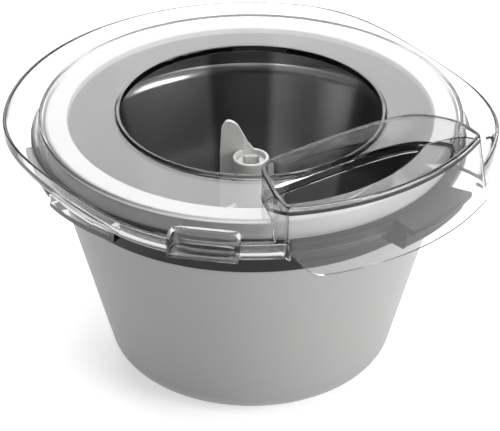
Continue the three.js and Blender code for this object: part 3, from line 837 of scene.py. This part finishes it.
class ICECREAM_OT_paddle(bpy.types.Operator):
    """Builds the paddle with its blades, fin and square drive socket."""
    bl_idname = "icecream.paddle"
    bl_label = "Paddle"

    def execute(self, context):
        look = context.scene.icecream_paddle
        white = moulded_white("paddle_white", look.colour, 1200)
        hub_r, top, low = 10.5 * MM, SOCKET_HIGH.z + 3 * MM, PADDLE_LOW.z
        bore, cup, socket = 5.6 * MM, 8.6 * MM, SOCKET_LOW.z - 0.3 * MM
        outline = rounded([
            (bore, low, 0.5 * MM), (22 * MM, low, 0.8 * MM), (22 * MM, low + 3 * MM, 1 * MM),
            (15 * MM, low + 22 * MM, 12 * MM), (hub_r + 0.8 * MM, low + 60 * MM, 30 * MM),
            (hub_r, top, 0.8 * MM), (cup, top, 0.6 * MM), (cup, socket, 0),
        ], 5)
        seat = FLOOR_Z + 13 * MM
        profile = [tuple(p) for p in outline] + [(0, socket), (0, seat), (bore, seat)]
        paddle = placed(spun(profile, 96), "paddle_body")
        for i in range(look.blades):
            paddle = joined(paddle, self.blade(look.blade, 100 + 360 * i / look.blades), "UNION")
        paddle = joined(paddle, self.fin(hub_r, top), "UNION")
        softened(paddle, 0.4 * MM, 50, 3)
        dressed(paddle, "paddle", "paddle_plastic", white, "paddle", sharp=45)
        self.socket_insert(white)
        return {"FINISHED"}

    @staticmethod
    def swept(count=96):
        """The space the blades turn through, clear of the floor, wall, hub bore and cup."""
        low, gap = PADDLE_LOW.z, 2.5 * MM
        outline = rounded([
            (9.5 * MM, low, 0), (inner_r(low) - gap - 8 * MM, low, 2 * MM),
            (inner_r(low + 9 * MM) - gap, low + 9 * MM, 8 * MM), (inner_r(56 * MM) - gap, 56 * MM, 2 * MM),
            (inner_r(62 * MM) - gap - 6 * MM, 62 * MM, 5 * MM), (46 * MM, 74 * MM, 20 * MM),
            (24 * MM, 92 * MM, 20 * MM), (9.5 * MM, 96 * MM, 0),
        ], 5)
        return spun([tuple(p) for p in outline], count)

    def blade(self, thickness, turn):
        """A curved blade, cut to the space it sweeps."""
        bend, steps = 95 * MM, 40
        outer = arc((0, -bend), bend + thickness / 2, 26, 84, steps)
        inner = arc((0, -bend), bend - thickness / 2, 84, 26, steps)
        around = Matrix.Rotation(math.radians(turn), 2)
        plate = placed(raised([around @ Vector(p) for p in outer + inner], 5 * MM, 120 * MM), "blade")
        plate = joined(plate, self.swept(), "INTERSECT")
        cut = bmesh.new()
        cut.from_mesh(plate.data)
        bpy.data.objects.remove(plate)
        return cut

    @staticmethod
    def fin(hub_r, top):
        """The tall fin beside the socket."""
        outline = rounded([(x * MM, top + z * MM, r * MM) for x, z, r in (
            (-18.5, -55, 1), (4, -55, 1), (4, -3, 3), (-1.5, 4, 6), (-8, 17, 8), (-14, 20, 3),
            (-17, 14, 5), (-18, -4, 12))], 6)
        bm = raised(outline, -(hub_r - 0.6 * MM), -(hub_r - 3 * MM))
        bmesh.ops.rotate(bm, verts=bm.verts, cent=(0, 0, 0), matrix=Matrix.Rotation(math.radians(90), 3, "X"))
        plate = placed(bm, "fin")
        cup = raised([polar(8.6 * MM, a) for a in range(0, 360, 5)], SOCKET_LOW.z - 0.3 * MM, 1)
        plate = joined(plate, cup, "DIFFERENCE")
        cut = bmesh.new()
        cut.from_mesh(plate.data)
        bpy.data.objects.remove(plate)
        return cut

    def socket_insert(self, white):
        """The cup's insert: an eight-sided recess between four corner nubs."""
        low, high, across = SOCKET_LOW.z, SOCKET_HIGH.z, 5.4 * MM
        outline = rounded([(8.3 * MM, low, 0), (8.3 * MM, high, 0.5 * MM)] + [(0, high, 0)], 3)
        insert = placed(spun([(0, low)] + [tuple(p) for p in outline], 72), "socket_insert")
        recess = raised([polar(across, 22.5 + 45 * i) for i in range(8)], low + 3 * MM, high + 5 * MM)
        insert = joined(insert, recess, "DIFFERENCE")
        for i in range(4):
            half, reach = 1.2 * MM, across + 1.6 * MM
            turn = Matrix.Rotation(math.radians(45 + 90 * i), 2)
            plan = [turn @ Vector(p) for p in ((0.5 * reach, -half), (reach, -half), (reach, half),
                                               (0.5 * reach, half))]
            insert = joined(insert, raised(plan, low + 3 * MM, high + 5 * MM), "DIFFERENCE")
        softened(insert, 0.25 * MM, 50, 2)
        dressed(insert, "paddle", "paddle_plastic", white, "drive_socket", sharp=45)


# ---- stage -----------------------------------------------------------------------------------

class ICECREAM_OT_stage(bpy.types.Operator):
    """Sets the pale floor, the soft lamps and the camera."""
    bl_idname = "icecream.stage"
    bl_label = "Stage"

    def execute(self, context):
        look = context.scene.icecream_stage
        self.floor(look)
        self.lamps()
        self.world(context)
        target = Vector((-0.0005, 0, 0.085))
        back = Vector((0, -math.cos(look.pitch), math.sin(look.pitch)))
        lens = bpy.data.cameras.new("camera")
        lens.lens, lens.sensor_width, lens.clip_end = look.lens, 36, 50
        camera = bpy.data.objects.new("camera", lens)
        camera.location = target + back * look.distance
        camera.rotation_euler = (math.pi / 2 - look.pitch, 0, 0)
        context.scene.collection.objects.link(camera)
        context.scene.camera = camera
        context.scene.view_settings.view_transform = "Standard"
        return {"FINISHED"}

    def floor(self, look):
        bm = bmesh.new()
        bmesh.ops.create_circle(bm, cap_ends=True, segments=96, radius=4)
        bmesh.ops.translate(bm, verts=bm.verts, vec=(0, 0, -0.0005))
        floor = placed(bm, "floor")
        paint = Paint("pale_floor")
        cloud = paint.noise(6, 3)
        base = paint.between(cloud, (0.88, 0.88, 0.88), (0.9, 0.9, 0.9))
        floor.data.materials.append(paint.done(paint.surface(
            Base_Color=base, Roughness=0.6 + 0.1 * cloud, Specular_IOR_Level=0.1,
            Emission_Color=(1, 1, 1, 1), Emission_Strength=look.floor_glow)))

    def lamps(self):
        # Name, brightness, size, position: each panel faces the bowl.
        for name, bright, size, place in (
                ("back_panel", 2.9, (3.6, 1.7), (0, 2.7, 1.8)),
                ("right_panel", 6.5, (1.0, 1.2), (1.45, -0.75, 0.6)),
                ("top_panel", 3.6, (1.8, 1.8), (0.1, -0.1, 2.3))):
            lamp = bpy.data.lights.new(name, "AREA")
            lamp.shape, lamp.energy = "RECTANGLE", bright * math.pi * size[0] * size[1]
            lamp.size, lamp.size_y = size
            made = bpy.data.objects.new(name, lamp)
            made.location = place
            made.rotation_euler = (Vector(place) - Vector((0, 0, 0.08))).to_track_quat("Z", "Y").to_euler()
            bpy.context.scene.collection.objects.link(made)

    def world(self, context):
        """A dim room that is darkest at eye level and pale overhead."""
        world = bpy.data.worlds.new("studio")
        world.use_nodes = True
        tree = world.node_tree
        way = tree.nodes.new("ShaderNodeTexCoord")
        split = tree.nodes.new("ShaderNodeSeparateXYZ")
        fade = tree.nodes.new("ShaderNodeValToRGB")
        fade.color_ramp.elements[0].position, fade.color_ramp.elements[1].position = 0.05, 0.75
        fade.color_ramp.elements[0].color = (0.07, 0.07, 0.07, 1)
        fade.color_ramp.elements[1].color = (0.16, 0.16, 0.16, 1)
        tree.links.new(way.outputs["Generated"], split.inputs[0])
        tree.links.new(split.outputs["Z"], fade.inputs["Fac"])
        tree.links.new(fade.outputs["Color"], tree.nodes["Background"].inputs["Color"])
        context.scene.world = world


class ICECREAM_PT_panel(bpy.types.Panel):
    """Sizes, colours and the buttons that build each piece."""
    bl_idname = "ICECREAM_PT_panel"
    bl_label = "Ice cream maker"
    bl_space_type = "VIEW_3D"
    bl_region_type = "UI"
    bl_category = "Ice Cream"

    def draw(self, context):
        for group, kind, operator in GROUPS:
            box = self.layout.box()
            if group:
                settings = getattr(context.scene, group)
                for name in kind.__annotations__:
                    box.prop(settings, name)
            box.operator(operator.bl_idname)


GROUPS = (
    ("icecream_bowl", BowlSettings, ICECREAM_OT_bowl),
    ("icecream_ring", RingSettings, ICECREAM_OT_ring),
    ("icecream_lid", LidSettings, ICECREAM_OT_lid),
    (None, None, ICECREAM_OT_chute),
    ("icecream_paddle", PaddleSettings, ICECREAM_OT_paddle),
    ("icecream_stage", StageSettings, ICECREAM_OT_stage),
)


def register():
    for group, kind, operator in GROUPS:
        if group:
            bpy.utils.register_class(kind)
            setattr(bpy.types.Scene, group, bpy.props.PointerProperty(type=kind))
        bpy.utils.register_class(operator)
    bpy.utils.register_class(ICECREAM_PT_panel)


def unregister():
    bpy.utils.unregister_class(ICECREAM_PT_panel)
    for group, kind, operator in reversed(GROUPS):
        bpy.utils.unregister_class(operator)
        if group:
            delattr(bpy.types.Scene, group)
            bpy.utils.unregister_class(kind)


def main():
    register()
    bpy.ops.icecream.bowl()
    bpy.ops.icecream.ring()
    bpy.ops.icecream.lid()
    bpy.ops.icecream.chute()
    bpy.ops.icecream.paddle()
    bpy.ops.icecream.stage()


if __name__ == "__main__":
    main()
